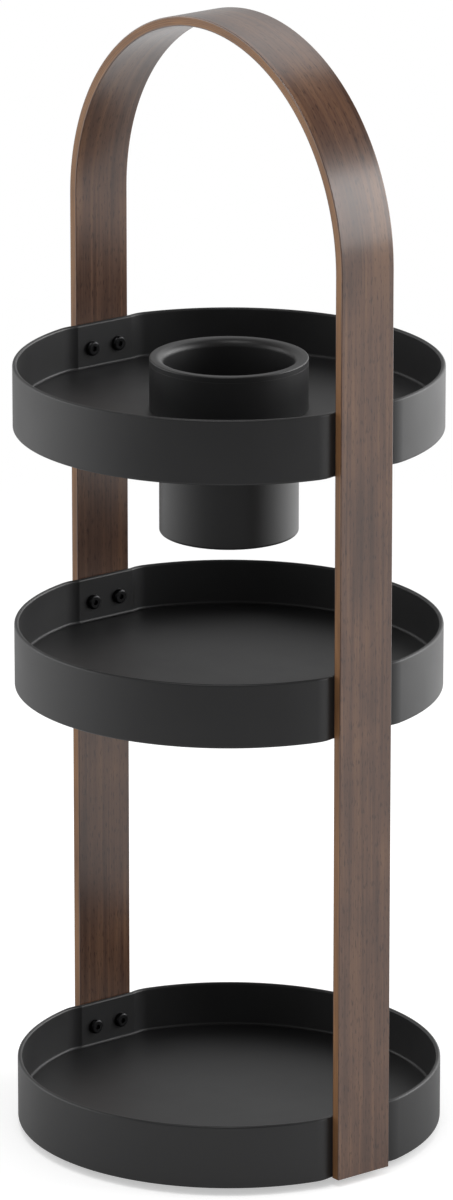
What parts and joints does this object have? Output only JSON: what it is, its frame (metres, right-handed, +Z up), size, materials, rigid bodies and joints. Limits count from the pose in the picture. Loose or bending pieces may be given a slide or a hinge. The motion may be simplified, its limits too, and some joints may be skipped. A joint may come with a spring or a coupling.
{
  "type": "rotating vanity organizer",
  "caption": "Free-standing vanity organizer: round trays carried in a bent wood arch that turns on a ball-bearing base, with a lift-out brush cup.",
  "frame": {"origin": "on the turning axis, at table level under the rubber feet", "axes": "+Z up along the turning axis; the legs of the arch stand on the X axis"},
  "size_m": [0.219, 0.216, 0.5794],
  "materials": {
    "black_abs": "satin moulded",
    "base_abs": "moulded",
    "walnut_veneer": "clear matt lacquer",
    "ply_core": "clear matt lacquer",
    "rubber": "matt",
    "zinc_steel": "bright zinc plated",
    "ball_steel": "polished",
    "black_steel": "black oxide",
    "brass": "turned",
    "acetal": "moulded",
    "nylon": "moulded"
  },
  "bodies": {
    "base": {"turntable_base": "base_abs", "rubber_feet": "rubber", "lower_race": "zinc_steel", "lower_race_screws": "zinc_steel", "pivot_bush": "acetal"},
    "ball_ring": {"ball_cage": "nylon", "bearing_balls": "ball_steel"},
    "organizer": {"bottom_tray": "black_abs", "middle_tray": "black_abs", "top_tray": "black_abs", "cup_collar": "black_abs", "arch_core": "ply_core", "arch_inner_veneer": "walnut_veneer", "arch_outer_veneer": "walnut_veneer", "upper_race": "zinc_steel", "upper_race_screws": "zinc_steel", "pivot_screw": "zinc_steel", "pivot_washer": "zinc_steel", "pivot_insert": "brass", "bottom_tray_screws": "black_steel", "middle_tray_screws": "black_steel", "top_tray_screws": "black_steel", "bottom_leg_inserts": "brass", "middle_leg_inserts": "brass", "top_leg_inserts": "brass"},
    "cup": {"brush_cup": "black_abs"}
  },
  "joints": [
    {"name": "turntable_spin", "type": "hinge", "parent": "base", "child": "organizer", "pos_m": [0, 0, 0.00765], "axis": [0, 0, 1], "continuous": true},
    {"name": "ball_ring_spin", "type": "hinge", "parent": "base", "child": "ball_ring", "pos_m": [0, 0, 0.00765], "axis": [0, 0, 1], "continuous": true},
    {"name": "cup_lift", "type": "slide", "parent": "organizer", "child": "cup", "axis": [0, 0, 1], "range_m": [0, 0.1]}
  ],
  "couplings": [
    {"joint": "ball_ring_spin", "follows": "turntable_spin", "ratio": 0.5}
  ]
}
